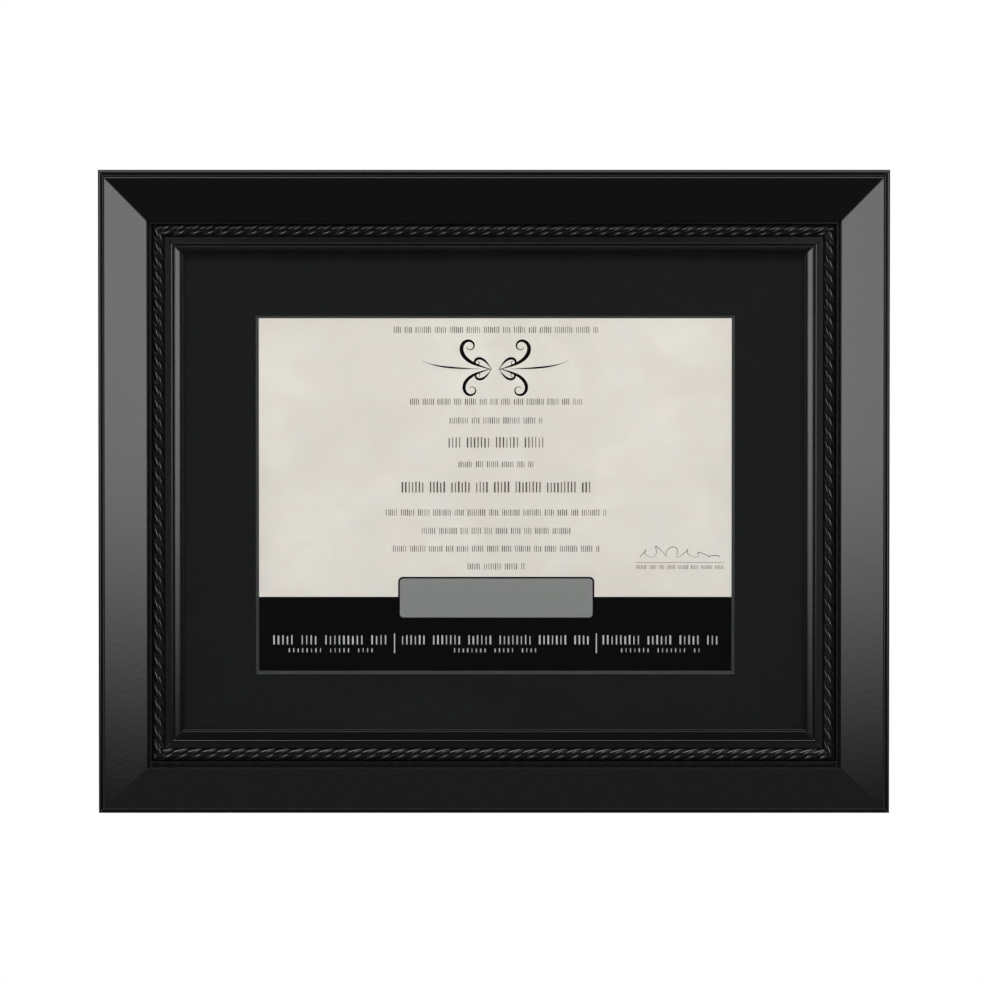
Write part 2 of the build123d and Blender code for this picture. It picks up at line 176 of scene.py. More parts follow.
# Screws
SCREW_AT = 33.0
SCREW_TWIST = 0.7  # each recess is turned on from the last
HEAD_SEAT, HEAD_CROWN, HEAD_FALL, HEAD_SPREAD = 1.2, 1.5, 0.42, 2.75
HEAD_EDGE_AT, HEAD_EDGE_OUT, HEAD_EDGE_BASE, HEAD_EDGE_RISE = 2.55, 0.45, 0.6, 0.68
RECESS_HALF_WIDTH, RECESS_REACH, RECESS_DEPTH = 0.34, 1.55, 0.85
SHANK_PROFILE = ((2.96, 1.3), (2.85, 1.2), (1.3, 1.2), (1.3, -3.0), (0.02, -3.6))  # radius, lift

# Hangers and nails
HANGER_AXIS = 19.0
HANGER_HALF_LENGTH, HANGER_HALF_WIDTH = 23.0, 4.5
HANGER_THICK, HANGER_EASE, HANGER_CORNER = 0.8, 0.12, 2.0
HANGER_STAND, HANGER_RAMP_FOOT, HANGER_RAMP = 1.6, 15.0, 2.5
NOTCH_COUNT, NOTCH_PITCH, NOTCH_DEPTH = 9, 2.8, 1.5
HANGER_NAILS = (-19.0, 19.0)
NAIL_PROFILE = (  # radius, lift
    (0.02, 1.4), (0.8, 1.39), (1.35, 1.34), (1.6, 1.24), (1.7, 1.08), (1.68, 0.9), (1.55, 0.8), (0.7, 0.8),
    (0.7, -3.0), (0.02, -3.4),
)
V_NAIL_INSETS = (11.0, 27.0)
V_NAIL_LEG, V_NAIL_SPREAD = 4.5, radians(50)
V_NAIL_FOLD = 0.02  # roundness of the fold, as a share
V_NAIL_HALF_THICK, V_NAIL_TOP, V_NAIL_EASE, V_NAIL_DEPTH = 0.25, 0.12, 0.06, 3.0

UNIT_SQUARE = np.array([(-1, -1), (1, -1), (1, 1), (-1, 1)]) / 2


# Shapes


def placed(rail, x, u, v):
    """Rail coordinates to the frame's.

    With h = outer - u the height over the frame's centre and t the rail's turn about Y:
    X = x cos t + h sin t, Y = -v, Z = centre - x sin t + h cos t.
    """
    _, outer, turn = RAILS[rail]
    c, s = cos(radians(turn)), sin(radians(turn))
    x, u, v = np.broadcast_arrays(np.asarray(x, float), u, v)
    h = outer - u
    return np.stack([x * c + h * s, -v, CENTRE_Z - x * s + h * c], -1) * MM


def shell(points, wrap_rows=False, wrap_cols=False, caps=False, **fields):
    """Quads over a grid of points (rows, cols, 3), closed round where asked, with flat end caps.

    Further keywords are point fields over the same grid, kept as attributes; along is a vector, the others
    are values. Returns points, quads, caps and fields.
    """
    rows, cols = points.shape[:2]
    index = np.arange(rows * cols).reshape(rows, cols)
    ends = [index[0, ::-1], index[-1]] if caps else []
    if wrap_rows:
        index = np.concatenate([index, index[:1]], 0)
    if wrap_cols:
        index = np.concatenate([index, index[:, :1]], 1)
    quads = np.stack([index[:-1, :-1], index[:-1, 1:], index[1:, 1:], index[1:, :-1]], -1).reshape(-1, 4)
    flat = {}
    for key, field in fields.items():
        shape = (rows, cols, 3) if key == "along" else (rows, cols)
        flat[key] = np.broadcast_to(field, shape).reshape(rows * cols, -1)
    return points.reshape(-1, 3), quads, ends, flat


def volume(points, quads, caps):
    """Signed volume from fans of triangles, a.(b x c) / 6 summed."""
    total = 0.0
    for rings in (quads, *(cap[None] for cap in caps)):
        corner = points[rings]
        total += np.einsum("ni,nki->", corner[:, 0], np.cross(corner[:, 1:-1], corner[:, 2:]))
    return total / 6


def put(name, data):
    """New object in the scene, at the origin."""
    obj = bpy.data.objects.new(name, data)
    bpy.context.scene.collection.objects.link(obj)
    return obj


def build(name, shells, material, body=ROOT, stands_for=(), crease=40.0, closed=True):
    """One object from shells: merged points, faces turned outwards, sharp where they meet at over crease."""
    points, faces, fields, start = [], [], {}, 0
    for grid, quads, caps, values in shells:
        if closed and volume(grid, quads, caps) < 0:
            quads, caps = quads[:, ::-1], [cap[::-1] for cap in caps]
        points.append(grid)
        faces.extend((quads + start).tolist())
        faces.extend((cap + start).tolist() for cap in caps)
        for key, value in values.items():
            fields.setdefault(key, []).append(value)
        start += len(grid)
    mesh = bpy.data.meshes.new(name)
    mesh.from_pydata(np.concatenate(points).tolist(), [], faces)
    mesh.polygons.foreach_set("use_smooth", np.ones(len(mesh.polygons), bool))
    mesh.set_sharp_from_angle(angle=radians(crease))
    for key, parts in fields.items():
        value = np.concatenate(parts)
        kind, part = ("FLOAT_VECTOR", "vector") if value.shape[1] == 3 else ("FLOAT", "value")
        mesh.attributes.new(key, kind, "POINT").data.foreach_set(part, value.ravel())
    mesh.materials.append(material)
    mesh.update()
    obj = put(name, mesh)
    if stands_for:
        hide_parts(*stands_for)
    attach(obj, body)
    return obj


def smooth(t):
    """Smooth step 3 t^2 - 2 t^3, with t held between 0 and 1."""
    t = np.clip(t, 0, 1)
    return t**2 * (3 - 2 * t)


def full_turn(count):
    """A row of angles in even steps round a circle."""
    return np.linspace(0, 2 * pi, count, endpoint=False)[None]


def left_normals(course):
    """Unit normals (-b, a) to the left of a course of steps (a, b)."""
    normal = np.stack([-course[:, 1], course[:, 0]], -1)
    return normal / np.linalg.norm(normal, axis=1, keepdims=True)


def bow(start, end, swell, count=9):
    """Rows (u, v, 0) between two ends: the chord plus 4 s (1 - s) swell along its left normal."""
    a, b = np.array(start, float), np.array(end, float)
    s = np.linspace(0, 1, count)[1:-1, None]
    chord = b - a
    curve = a + chord * s + 4 * s * (1 - s) * swell * left_normals(chord[None])
    return np.pad(curve, ((0, 0), (0, 1))).tolist()


def eased(rows, steps=6):
    """Closed outline from rows of (u, v, easing).

    A corner C with easing r becomes the quadratic curve (1 - s)^2 A + 2 s (1 - s) C + s^2 D, where A and D
    lie r before and after C along the two sides. A point a hair outside A and D keeps the sides flat. A row
    with no easing stays a single point.
    """
    rows = np.asarray(rows, float)
    corner, ease = rows[:, :2], rows[:, 2]
    back = np.roll(corner, 1, 0) - corner
    ahead = np.roll(corner, -1, 0) - corner
    span_back = np.linalg.norm(back, axis=1)
    span_ahead = np.linalg.norm(ahead, axis=1)
    a = corner + back * (ease / span_back)[:, None]
    d = corner + ahead * (ease / span_ahead)[:, None]
    s = np.linspace(0, 1, steps)[None, :, None]
    curve = (1 - s) ** 2 * a[:, None] + 2 * s * (1 - s) * corner[:, None] + s**2 * d[:, None]
    before = corner + back * ((ease + FLAT_HOLD) / span_back)[:, None]
    after = corner + ahead * ((ease + FLAT_HOLD) / span_ahead)[:, None]
    curve = np.concatenate([before[:, None], curve, after[:, None]], 1)
    curve[ease == 0, 0] = corner[ease == 0]
    keep = np.ones(curve.shape[:2], bool)
    keep[ease == 0, 1:] = False
    return curve[keep]


def moulding_section():
    """Section of the moulding in rows of (u, v, easing), from the back round the outer wall to the rabbet."""
    first, last = CHANNEL_U
    back = [(PAINT_EDGE_U[1], 0, 0), (PAINT_EDGE_U[0], 0, 0), (UNDERCUT_U, 0, 0.4)]
    outer_wall = [(0, LAND_V[0], 0.5), (0, LAND_V[1], 1.15)]
    face = [(STEP_U[0], LAND_V[1], 0.2), (STEP_U[1], STEP_V, 0.8), (RIDGE_U, RIDGE_V, 0.25)]
    cove = [(*COVE_TOP, 0.1), *bow(COVE_TOP, COVE_FOOT, -0.5), (*COVE_FOOT, 0.02)]
    channel = [(first, COVE_FOOT[1], 0.08), (first, ROPE_SEAT, 0.2), (last, ROPE_SEAT, 0.2)]
    strip = [(last, STRIP_V, 0.06), (STRIP_U, STRIP_V, 0.05)]
    bead = [(*BEAD_OUTER, 0.12), *bow(BEAD_OUTER, BEAD_INNER, 0.06, 11), (*BEAD_INNER, 0.08)]
    groove = [(BEAD_INNER[0], GROOVE_V, 0.05), (LIP_OUTER[0], GROOVE_V, 0.12)]
    lip = [(*LIP_OUTER, 0.12), *bow(LIP_OUTER, LIP_INNER, 0.1, 13), (*LIP_INNER, 0.18)]
    sight = [(LIP_INNER[0], SIGHT_V, 0.1), (RAIL_WIDTH, SIGHT_V, 0.4), (RAIL_WIDTH, RABBET_V, 0.15)]
    rabbet = [(RABBET_U, RABBET_V, 0.2), (RABBET_U, 0, 0.4)]
    return eased(back + outer_wall + face + cove + channel + strip + bead + groove + lip + sight + rabbet)


def girth(section):
    """Length along a closed outline up to each of its points."""
    step = np.linalg.norm(np.diff(section, axis=0, append=section[:1]), axis=1)
    return np.concatenate([[0], np.cumsum(step)[:-1]])


def rail_shell(name):
    """The section carried along its rail: x = s (length / 2 - u) at share s, so that both ends are mitred.

    The last bit before a mitre dips along the section's normal, which eases the joint.
    """
    half = RAILS[name][0] / 2
    section = moulding_section()
    normal = left_normals(np.roll(section, -1, 0) - np.roll(section, 1, 0))
    station = np.array([-1, -1, -1, -0.5, 0, 0.5, 1, 1, 1])[:, None]
    trim = np.array([0, 1, 2, 0, 0, 0, 2, 1, 0])[:, None] * MITRE_EASE
    dip = np.array([1, 0, 0, 0, 0, 0, 0, 0, 1])[:, None, None] * MITRE_DIP
    line = section[None] - dip * normal[None]
    u, v = line[..., 0], line[..., 1]
    x = station * (half - u - trim)
    inward, forward = section.T
    bare = (forward < BARE_V) & (inward > BARE_U)
    satin = (inward > SATIN_U[0]) & (inward < SATIN_U[1]) & (forward > SATIN_V)
    field = {"bare": bare.astype(float), "satin": satin.astype(float)}
    along = np.stack(np.broadcast_arrays(x * MM, girth(section) * MM, (half - u) * MM), -1)
    return shell(placed(name, x, u, v), wrap_cols=True, caps=True, along=along, **field)


def rope_shell(name, columns_per_lobe=28, around=40):
    """Rope of slanting strands as a height over its strip, at a across the strip and x along it.

    The strands lean by l = lean * w asin(k a / w) / k, with half width w and wrap k. The grid follows them,
    x = q - l, and turns into the mitre, x = q -+ a, over the last stretch of the rail. With p the share of
    the pitch from the nearest strand's crest, the height is
    crown sqrt(1 - |a / w|^round) - groove |2 p|^crest (1 - edge (a / w)^2).
    """
    length = RAILS[name][0]
    reach = length / 2 - ROPE_AT
    step = ROPE_LOBE_PITCH / columns_per_lobe
    count = int(reach / step - ROPE_LAST)
    q = np.concatenate([[-reach], np.arange(-count, count + 1) * step, [reach]])[:, None]
    share = np.sin(np.linspace(-pi / 2, pi / 2, around))[None]
    across = ROPE_HALF_WIDTH * share
    lean = ROPE_LEAN * ROPE_HALF_WIDTH * np.arcsin(ROPE_WRAP * share) / ROPE_WRAP
    turn = smooth((np.abs(q) - reach) / ROPE_TURN + 1)
    x = q - lean * (1 - turn) - np.sign(q) * across * turn
    phase = ((x + lean) / ROPE_LOBE_PITCH + 0.5) % 1 - 0.5
    crown = ROPE_CROWN * np.sqrt(1 - np.abs(share) ** ROPE_ROUND)
    groove = ROPE_GROOVE * np.abs(2 * phase) ** ROPE_CREST * (1 - ROPE_EDGE * share**2)
    v = ROPE_SEAT + np.maximum(crown - groove, ROPE_SKIN * (1 - share**2)) + ROPE_CLEAR
    along = np.stack(np.broadcast_arrays(x * MM, across * MM, length * MM), -1)
    points = placed(name, x, ROPE_AT + across, v)
    return shell(points, wrap_cols=True, caps=True, along=along, bare=0.0, satin=ROPE_SATIN)


def mat_shell():
    """Mat as a closed ring of rectangles: back, window at the back, bevel, window in front and face.

    The core field marks the bevel.
    """
    back_w, back_h = WINDOW_WIDTH - 2 * MAT_BEVEL_RUN, WINDOW_HEIGHT - 2 * MAT_BEVEL_RUN
    loops = np.array([  # middle, width, height, distance forward, core or face
        (0, MAT_WIDTH, MAT_HEIGHT, MAT_BACK, 0),
        (WINDOW_X, back_w, back_h, MAT_BACK, 0),
        (WINDOW_X, back_w, back_h, MAT_BACK, 1),
        (WINDOW_X, WINDOW_WIDTH - PAPER_IN, WINDOW_HEIGHT - PAPER_IN, MAT_FACE - PAPER_THICK, 1),
        (WINDOW_X, WINDOW_WIDTH, WINDOW_HEIGHT, MAT_FACE - PAPER_DIP, 0),
        (WINDOW_X, WINDOW_WIDTH + MAT_EASE, WINDOW_HEIGHT + MAT_EASE, MAT_FACE, 0),
        (0, MAT_WIDTH - MAT_EASE, MAT_HEIGHT - MAT_EASE, MAT_FACE, 0),
        (0, MAT_WIDTH, MAT_HEIGHT, MAT_FACE - MAT_EASE, 0),
    ])
    middle, width, height, forward, core = loops.T[:, :, None]
    x = UNIT_SQUARE[:, 0] * width + middle
    z = UNIT_SQUARE[:, 1] * height + SHEETS_Z
    points = np.stack(np.broadcast_arrays(x, -forward, z), -1) * MM
    return shell(points, wrap_rows=True, wrap_cols=True, core=core)


# Print on the sheet, as flat marks just in front of the paper


def flat_marks(x, z, lift):
    """Points (rows, cols, 3) of a flat mark, a lift in front of the paper; z is from the sheet's centre."""
    x, z = np.broadcast_arrays(np.asarray(x, float), z)
    return np.stack([x + WINDOW_X, np.full(x.shape, -PRINT_FACE - lift), z + SHEETS_Z], -1) * MM


def bars(rows, lift):
    """Upright rectangles from rows of (x centre, z centre, width, height)."""
    x, z, width, height = np.asarray(rows, float).T[:, :, None]
    points = flat_marks(x + UNIT_SQUARE[:, 0] * width, z + UNIT_SQUARE[:, 1] * height, lift).reshape(-1, 3)
    return points, np.arange(len(points)).reshape(-1, 4), [], {}


def word_ticks(rng, x, z, width, height, pitch, share):
    """A line of plain upright ticks in groups of 4 to 9, with share the part of a pitch that is ink.

    Ticks stand a pitch apart and groups GROUP_GAP pitches more, all stretched to the width.
    """
    count = max(int(width / pitch), 2)
    gap = rng.integers(4, 10, count).cumsum()
    place = np.arange(count) + GROUP_GAP * np.searchsorted(gap, np.arange(count), side="right")
    place = place / place[-1] - 0.5
    tall = height * rng.choice([1.0, 1.0, 0.96, 0.9], count)
    broad = pitch * share * rng.choice([0.75, 1.0, 1.25], count)
    return np.stack([x + place * width, z - (height - tall) / 2, broad, tall], -1)


def stroke(path, width, lift):
    """Strip of varying width along a path: centre plus and minus half the width along its normal."""
    normal = left_normals(np.gradient(path, axis=0))
    side = np.array([0.5, -0.5])[None, :, None]
    edge = path[:, None] + side * (width[:, None] * normal)[:, None]
    return shell(flat_marks(edge[..., 0], edge[..., 1], lift))


def scroll(start, heading, length, bend, thick, count=60):
    """Path and widths of a flourish that winds up into a volute.

    Over its course s from 0 to 1 the heading turns by bend * s^3, and the width swells as a sine to the
    power 1.5 over SCROLL_TIP of the thickness.
    """
    s = np.linspace(0, 1, count)
    angle = heading + bend * s**3
    step = np.stack([np.cos(angle), np.sin(angle)], -1) * length / count
    path = np.array(start) + np.cumsum(step, 0)
    swell = np.sin(pi * np.clip(s * 1.02, 0, 1)) ** 1.5
    return path, thick * (SCROLL_TIP + (1 - SCROLL_TIP) * swell)


def pen_wave(count=160):
    """Plain wave over the rule: loops that shrink along the way, swaying sideways as they go.

    At share s, x = start + run s + sway sin(2 pi sways s) and
    z = foot + (high - fall s) (1 + sin(2 pi loops s)) / 2 sin(pi s)^0.4.
    """
    s = np.linspace(0, 1, count)
    beat = np.sin(2 * pi * WAVE_LOOPS * s)
    x = WAVE_START + WAVE_RUN * s + WAVE_SWAY * np.sin(2 * pi * WAVE_SWAYS * s)
    z = WAVE_FOOT + (WAVE_HIGH - WAVE_FALL * s) * (0.5 + 0.5 * beat) * np.sin(pi * s) ** 0.4
    return stroke(np.stack([x, z], -1), WAVE_THICK + WAVE_SWELL * beat, INK_LIFT)


def rounded_panel(x0, x1, z0, z1, radius, inset, lift, count=12):
    """Rounded rectangle as one face: quarter circles at the four corners of the inset rectangle."""
    angle = np.linspace(0, pi / 2, count)
    quarter = np.concatenate([angle, angle + pi / 2, angle + pi, angle + 3 * pi / 2])
    sign = np.repeat(np.array([(1, 1), (-1, 1), (-1, -1), (1, -1)]), count, 0)
    middle = np.array([(x0 + x1) / 2, (z0 + z1) / 2])
    reach = np.array([(x1 - x0) / 2 - inset - radius, (z1 - z0) / 2 - inset - radius])
    ring = middle + sign * reach + radius * np.stack([np.cos(quarter), np.sin(quarter)], -1)
    return flat_marks(ring[:, 0], ring[:, 1], lift), np.empty((0, 4), int), [np.arange(len(ring))], {}


# Hardware


def on_back(rail, x, inward, across, down, lift):
    """Points on a rail's back: across runs along the rail, down runs inward, lift stands off the back."""
    return placed(rail, x + across, inward + down, -np.asarray(lift))


def button_shell(rail, x0, rings=13, around=128):
    """Stamped turn button: rings run from the screw hole over the top to the rim, then back underneath.

    The rim at angle a from the arm is the farthest point of all circles of radius r at c between the hub and
    the tip: max over c of c cos a + sqrt(r^2 - c^2 sin^2 a). A raised rib along the arm is a product of two
    smooth steps.
    """
    p = np.linspace(-pi, pi, around, endpoint=False)
    a = p - BUTTON_CROWD * np.sin(p)
    c = np.linspace(0, BUTTON_REACH, 90)[:, None]
    r = BUTTON_HUB - (BUTTON_HUB - BUTTON_TIP) * c / BUTTON_REACH
    under = r**2 - (c * np.sin(a)) ** 2
    rim = np.max(np.where(under > 0, c * np.cos(a) + np.sqrt(np.maximum(under, 0)), 0), 0)
    inner = BUTTON_HOLE + HOLE_EASE
    top = inner + np.linspace(0, 1, rings)[:, None] * (rim - BUTTON_ROLL - inner)
    turn = np.linspace(0, pi / 2, 5)[1:]
    edge = rim - BUTTON_ROLL + BUTTON_ROLL * np.sin(turn)[:, None]
    edge_lift = BUTTON_TOP - BUTTON_ROLL + BUTTON_ROLL * np.cos(turn)
    foot = np.stack([rim, rim - FOOT_EASE, np.full(around, BUTTON_HOLE)])
    foot_lift = [BUTTON_UNDER + FOOT_EASE, BUTTON_UNDER, BUTTON_UNDER]
    radius = np.concatenate([np.full((1, around), BUTTON_HOLE), top, edge, foot])
    levels = [[BUTTON_TOP - HOLE_EASE], np.full(rings, BUTTON_TOP), edge_lift, foot_lift]
    down, across = radius * np.cos(a), radius * np.sin(a)
    along_rib = smooth((RIB_HALF_LENGTH - np.abs(down - RIB_MIDDLE)) / RIB_END_SLOPE + 0.5)
    across_rib = smooth((RIB_HALF_WIDTH - np.abs(across)) / RIB_SIDE_SLOPE + 0.3)
    on_top = np.arange(len(radius))[:, None] <= rings
    lift = np.concatenate(levels)[:, None] + np.where(on_top, RIB_HEIGHT * along_rib * across_rib, 0)
    return shell(on_back(rail, x0, SCREW_AT, across, down, lift), wrap_rows=True, wrap_cols=True)


def recess_arm(aside, along):
    """Mask of one slot of a cross recess: a soft step at its sides times a soft step at its ends."""
    sides = np.clip((RECESS_HALF_WIDTH - np.abs(aside)) / 0.2 + 0.5, 0, 1)
    return sides * np.clip((RECESS_REACH - np.abs(along)) / 0.3 + 0.5, 0, 1)


def screw_shell(rail, x0, twist, around=96):
    """Pan-head screw: rings out over the domed head, round its edge, under it and down the shank.

    The dome falls off with the cube of the radius. The cross recess sinks it by a depth, less further out,
    times a smooth mask of two crossed slots.
    """
    a = full_turn(around)
    r = np.concatenate([np.linspace(0.02, 1.9, 26), np.linspace(2.05, HEAD_EDGE_AT, 5)])[:, None]
    along, aside = r * np.cos(a + twist), r * np.sin(a + twist)
    recess = np.maximum(recess_arm(aside, along), recess_arm(along, aside)) * (1.15 - 0.35 * r)
    dome = HEAD_SEAT + HEAD_CROWN - HEAD_FALL * (r / HEAD_SPREAD) ** 3 - RECESS_DEPTH * recess
    t = np.linspace(0.2, pi / 2, 6)[:, None]
    edge = HEAD_EDGE_AT + HEAD_EDGE_OUT * np.sin(t)
    edge_lift = HEAD_SEAT + HEAD_EDGE_BASE + HEAD_EDGE_RISE * np.cos(t)
    shank, shank_lift = np.array(SHANK_PROFILE).T[:, :, None]
    radius = np.concatenate([r, edge, shank])
    lift = np.concatenate([dome, np.repeat(np.concatenate([edge_lift, shank_lift]), around, 1)])
    points = on_back(rail, x0, SCREW_AT, radius * np.cos(a), radius * np.sin(a), lift)
    return shell(points, wrap_cols=True, caps=True)


def nail_shell(rail, x0, around=40):
    """Flat-headed nail with a slightly crowned head: its profile of (radius, lift) turned round the axis."""
    a = full_turn(around)
    radius, lift = np.array(NAIL_PROFILE).T[:, :, None]
    points = on_back(rail, x0, HANGER_AXIS, radius * np.cos(a), radius * np.sin(a), lift)
    return shell(points, wrap_cols=True, caps=True)


def hanger_shell(rail, count=461):
    """Sawtooth hanger: a section of eased strip carried along its length.

    The strip's lift is a smooth ramp from the nailed ends to the raised middle. Its inner edge is cut by
    notches, depth (1 - |x - xk| / half pitch), and both edges draw in by quarter circles at the ends.
    """
    s = np.linspace(-HANGER_HALF_LENGTH, HANGER_HALF_LENGTH, count)[:, None]
    lift = HANGER_STAND * smooth((HANGER_RAMP_FOOT - np.abs(s)) / HANGER_RAMP)
    tooth = np.abs((s / NOTCH_PITCH + 0.5) % 1 - 0.5) * 2
    notch = np.where(np.abs(s) < NOTCH_COUNT / 2 * NOTCH_PITCH, NOTCH_DEPTH * (1 - tooth), 0)
    past = np.maximum(np.abs(s) - (HANGER_HALF_LENGTH - HANGER_CORNER), 0)
    draw = HANGER_CORNER - np.sqrt(np.maximum(HANGER_CORNER**2 - past**2, 0))
    lower = HANGER_HALF_WIDTH - notch - draw
    upper = draw - HANGER_HALF_WIDTH
    ease, thick = HANGER_EASE, HANGER_THICK
    lower_in, upper_in = lower - ease, upper + ease
    across = np.concatenate([upper_in, lower_in, lower, lower, lower_in, upper_in, upper, upper], 1)
    height = np.array([thick, thick, thick - ease, ease, 0, 0, ease, thick - ease])[None] + lift
    return shell(on_back(rail, 0, HANGER_AXIS, s, across, height), wrap_cols=True, caps=True)


def v_nail_shell(rail, end, inset, legs=25):
    """Folded strip across a mitre: a thin upright rectangle carried along a V with a rounded fold.

    With s from -1 to 1, the V's height goes as sqrt(s^2 + fold) - sqrt(fold) and its width as s.
    """
    half = RAILS[rail][0] / 2
    s = np.linspace(-1, 1, legs)
    fold = np.sqrt(s**2 + V_NAIL_FOLD) - np.sqrt(V_NAIL_FOLD)
    tall = V_NAIL_LEG * cos(V_NAIL_SPREAD) * fold / fold[-1]
    wide = V_NAIL_LEG * sin(V_NAIL_SPREAD) * s
    normal = left_normals(np.stack([np.gradient(tall), np.gradient(wide)], -1))
    outer, inner = V_NAIL_HALF_THICK, V_NAIL_HALF_THICK - V_NAIL_EASE
    side = np.array([-outer, -inner, inner, outer, outer, -outer])
    top, shoulder = V_NAIL_TOP, V_NAIL_TOP - V_NAIL_EASE
    lift = np.array([shoulder, top, top, shoulder, -V_NAIL_DEPTH, -V_NAIL_DEPTH])
    t = tall[:, None] + side * normal[:, :1]
    w = wide[:, None] + side * normal[:, 1:]
    inward = (t + w) / np.sqrt(2)
    along = (t - w) / np.sqrt(2)
    points = on_back(rail, end * (half - inset), inset, -end * along, inward, lift[None])
    return shell(points, wrap_cols=True, caps=True)


# Materials


def add(tree, kind, inputs=None, **settings):
    """A node with its settings made and its inputs set or linked."""
    node = tree.nodes.new(kind)
    for key, value in settings.items():
        setattr(node, key, value)
    for key, value in (inputs or {}).items():
        if isinstance(value, bpy.types.NodeSocket):
            tree.links.new(value, node.inputs[key])
        else:
            node.inputs[key].default_value = value
    return node


def calc(tree, operation, a, b=0.0):
    """Output of a Math node."""
    return add(tree, "ShaderNodeMath", {0: a, 1: b}, operation=operation).outputs[0]


def remap(tree, value, low, high, to_low=0.0, to_high=1.0, smoothed=True):
    """Output of a Map Range node."""
    kind = "SMOOTHSTEP" if smoothed else "LINEAR"
    inputs = {"Value": value, "From Min": low, "From Max": high, "To Min": to_low, "To Max": to_high}
    return add(tree, "ShaderNodeMapRange", inputs, interpolation_type=kind).outputs["Result"]


def mix(tree, share, a, b):
    """Colour between a and b."""
    return add(tree, "ShaderNodeMix", {0: share, 6: a, 7: b}, data_type="RGBA").outputs[2]


def between(tree, share, a, b):
    """Value between a and b."""
    return add(tree, "ShaderNodeMix", {0: share, 2: a, 3: b}, data_type="FLOAT").outputs[0]


def toned(tree, colour, tone):
    """Colour multiplied by a grey value."""
    grey = add(tree, "ShaderNodeCombineColor", {0: tone, 1: tone, 2: tone}).outputs[0]
    inputs = {0: 1.0, 6: colour, 7: grey}
    return add(tree, "ShaderNodeMix", inputs, data_type="RGBA", blend_type="MULTIPLY").outputs[2]


def noise(tree, vector, scale, detail=3.0, rough=0.5, distort=0.0):
    """Value of a noise texture."""
    inputs = {"Vector": vector, "Scale": scale, "Detail": detail, "Roughness": rough, "Distortion": distort}
    return add(tree, "ShaderNodeTexNoise", inputs).outputs["Fac"]


def stretch(tree, vector, scale):
    """Coordinates scaled by axis."""
    return add(tree, "ShaderNodeMapping", {"Vector": vector, "Scale": scale}).outputs["Vector"]


def attribute(tree, name):
    """Outputs of an Attribute node of the piece's own point field."""
    return add(tree, "ShaderNodeAttribute", attribute_name=name).outputs


def new_group(name, inputs, outputs):
    """Empty shader node group: its Vector socket is a vector, the others are values."""
    group = bpy.data.node_groups.new(name, "ShaderNodeTree")
    for label in inputs:
        kind = "NodeSocketVector" if label == "Vector" else "NodeSocketFloat"
        group.interface.new_socket(label, in_out="INPUT", socket_type=kind)
    for label in outputs:
        group.interface.new_socket(label, in_out="OUTPUT", socket_type="NodeSocketFloat")
    return group, group.nodes.new("NodeGroupInput").outputs, group.nodes.new("NodeGroupOutput").inputs


def place_group(tree, group, **inputs):
    """Outputs of a node group placed in a tree."""
    return add(tree, "ShaderNodeGroup", inputs, node_tree=group).outputs


def lacquer_skin():
    """Sprayed lacquer: fine orange peel as height, rubbed patches as roughness, settled dust as a mask."""
    group, given, out = new_group(
        "lacquer_skin", ["Vector", "Roughness", "Spread"], ["Roughness", "Height", "Dust"]
    )
    peel = noise(group, given["Vector"], 420.0, 2.0, 0.45)
    rub = noise(group, given["Vector"], 26.0, 4.0, 0.6)
    fine = noise(group, given["Vector"], 1900.0, 2.0, 0.5)
    offset = calc(group, "MULTIPLY", calc(group, "SUBTRACT", rub, 0.5), given["Spread"])
    group.links.new(calc(group, "ADD", given["Roughness"], offset), out["Roughness"])
    group.links.new(peel, out["Height"])
    specks = remap(group, fine, 0.68, 0.78)
    group.links.new(calc(group, "MULTIPLY", specks, remap(group, rub, 0.4, 0.7)), out["Dust"])
    return group


def paper_fibre():
    """Pressed fibres: short streaks in two directions, as height and as a tone about one."""
    group, given, out = new_group("paper_fibre", ["Vector", "Scale", "Contrast"], ["Height", "Tone"])
    inputs = {0: given["Vector"], 3: given["Scale"]}
    sized = add(group, "ShaderNodeVectorMath", inputs, operation="SCALE").outputs[0]
    one = noise(group, stretch(group, sized, (1.0, 1.0, 0.28)), 1.0, 3.0, 0.6, 0.4)
    two = noise(group, stretch(group, sized, (0.3, 1.0, 1.0)), 1.1, 3.0, 0.6, 0.4)
    height = calc(group, "MULTIPLY", calc(group, "ADD", one, two), 0.5)
    group.links.new(height, out["Height"])
    swing = calc(group, "MULTIPLY", calc(group, "SUBTRACT", height, 0.5), given["Contrast"])
    group.links.new(calc(group, "ADD", swing, 1.0), out["Tone"])
    return group


def brushed_plate():
    """Zinc flash: cloudy spangle and fine rolling lines, as tone, roughness and height."""
    group, given, out = new_group("brushed_plate", ["Vector"], ["Tone", "Roughness", "Height"])
    cloud = noise(group, given["Vector"], 260.0, 4.0, 0.6)
    lines = noise(group, stretch(group, given["Vector"], (180.0, 2200.0, 2200.0)), 1.0, 2.0, 0.6)
    group.links.new(remap(group, cloud, 0.3, 0.7, 0.86, 1.06), out["Tone"])
    group.links.new(remap(group, cloud, 0.3, 0.7, 0.2, 0.42), out["Roughness"])
    group.links.new(lines, out["Height"])
    return group


LACQUER_SKIN = lacquer_skin()
PAPER_FIBRE = paper_fibre()
BRUSHED_PLATE = brushed_plate()


def show(tree, shader):
    """Link a shader to the material's output."""
    output = next(node for node in tree.nodes if node.type == "OUTPUT_MATERIAL")
    tree.links.new(shader.outputs[0], output.inputs["Surface"])


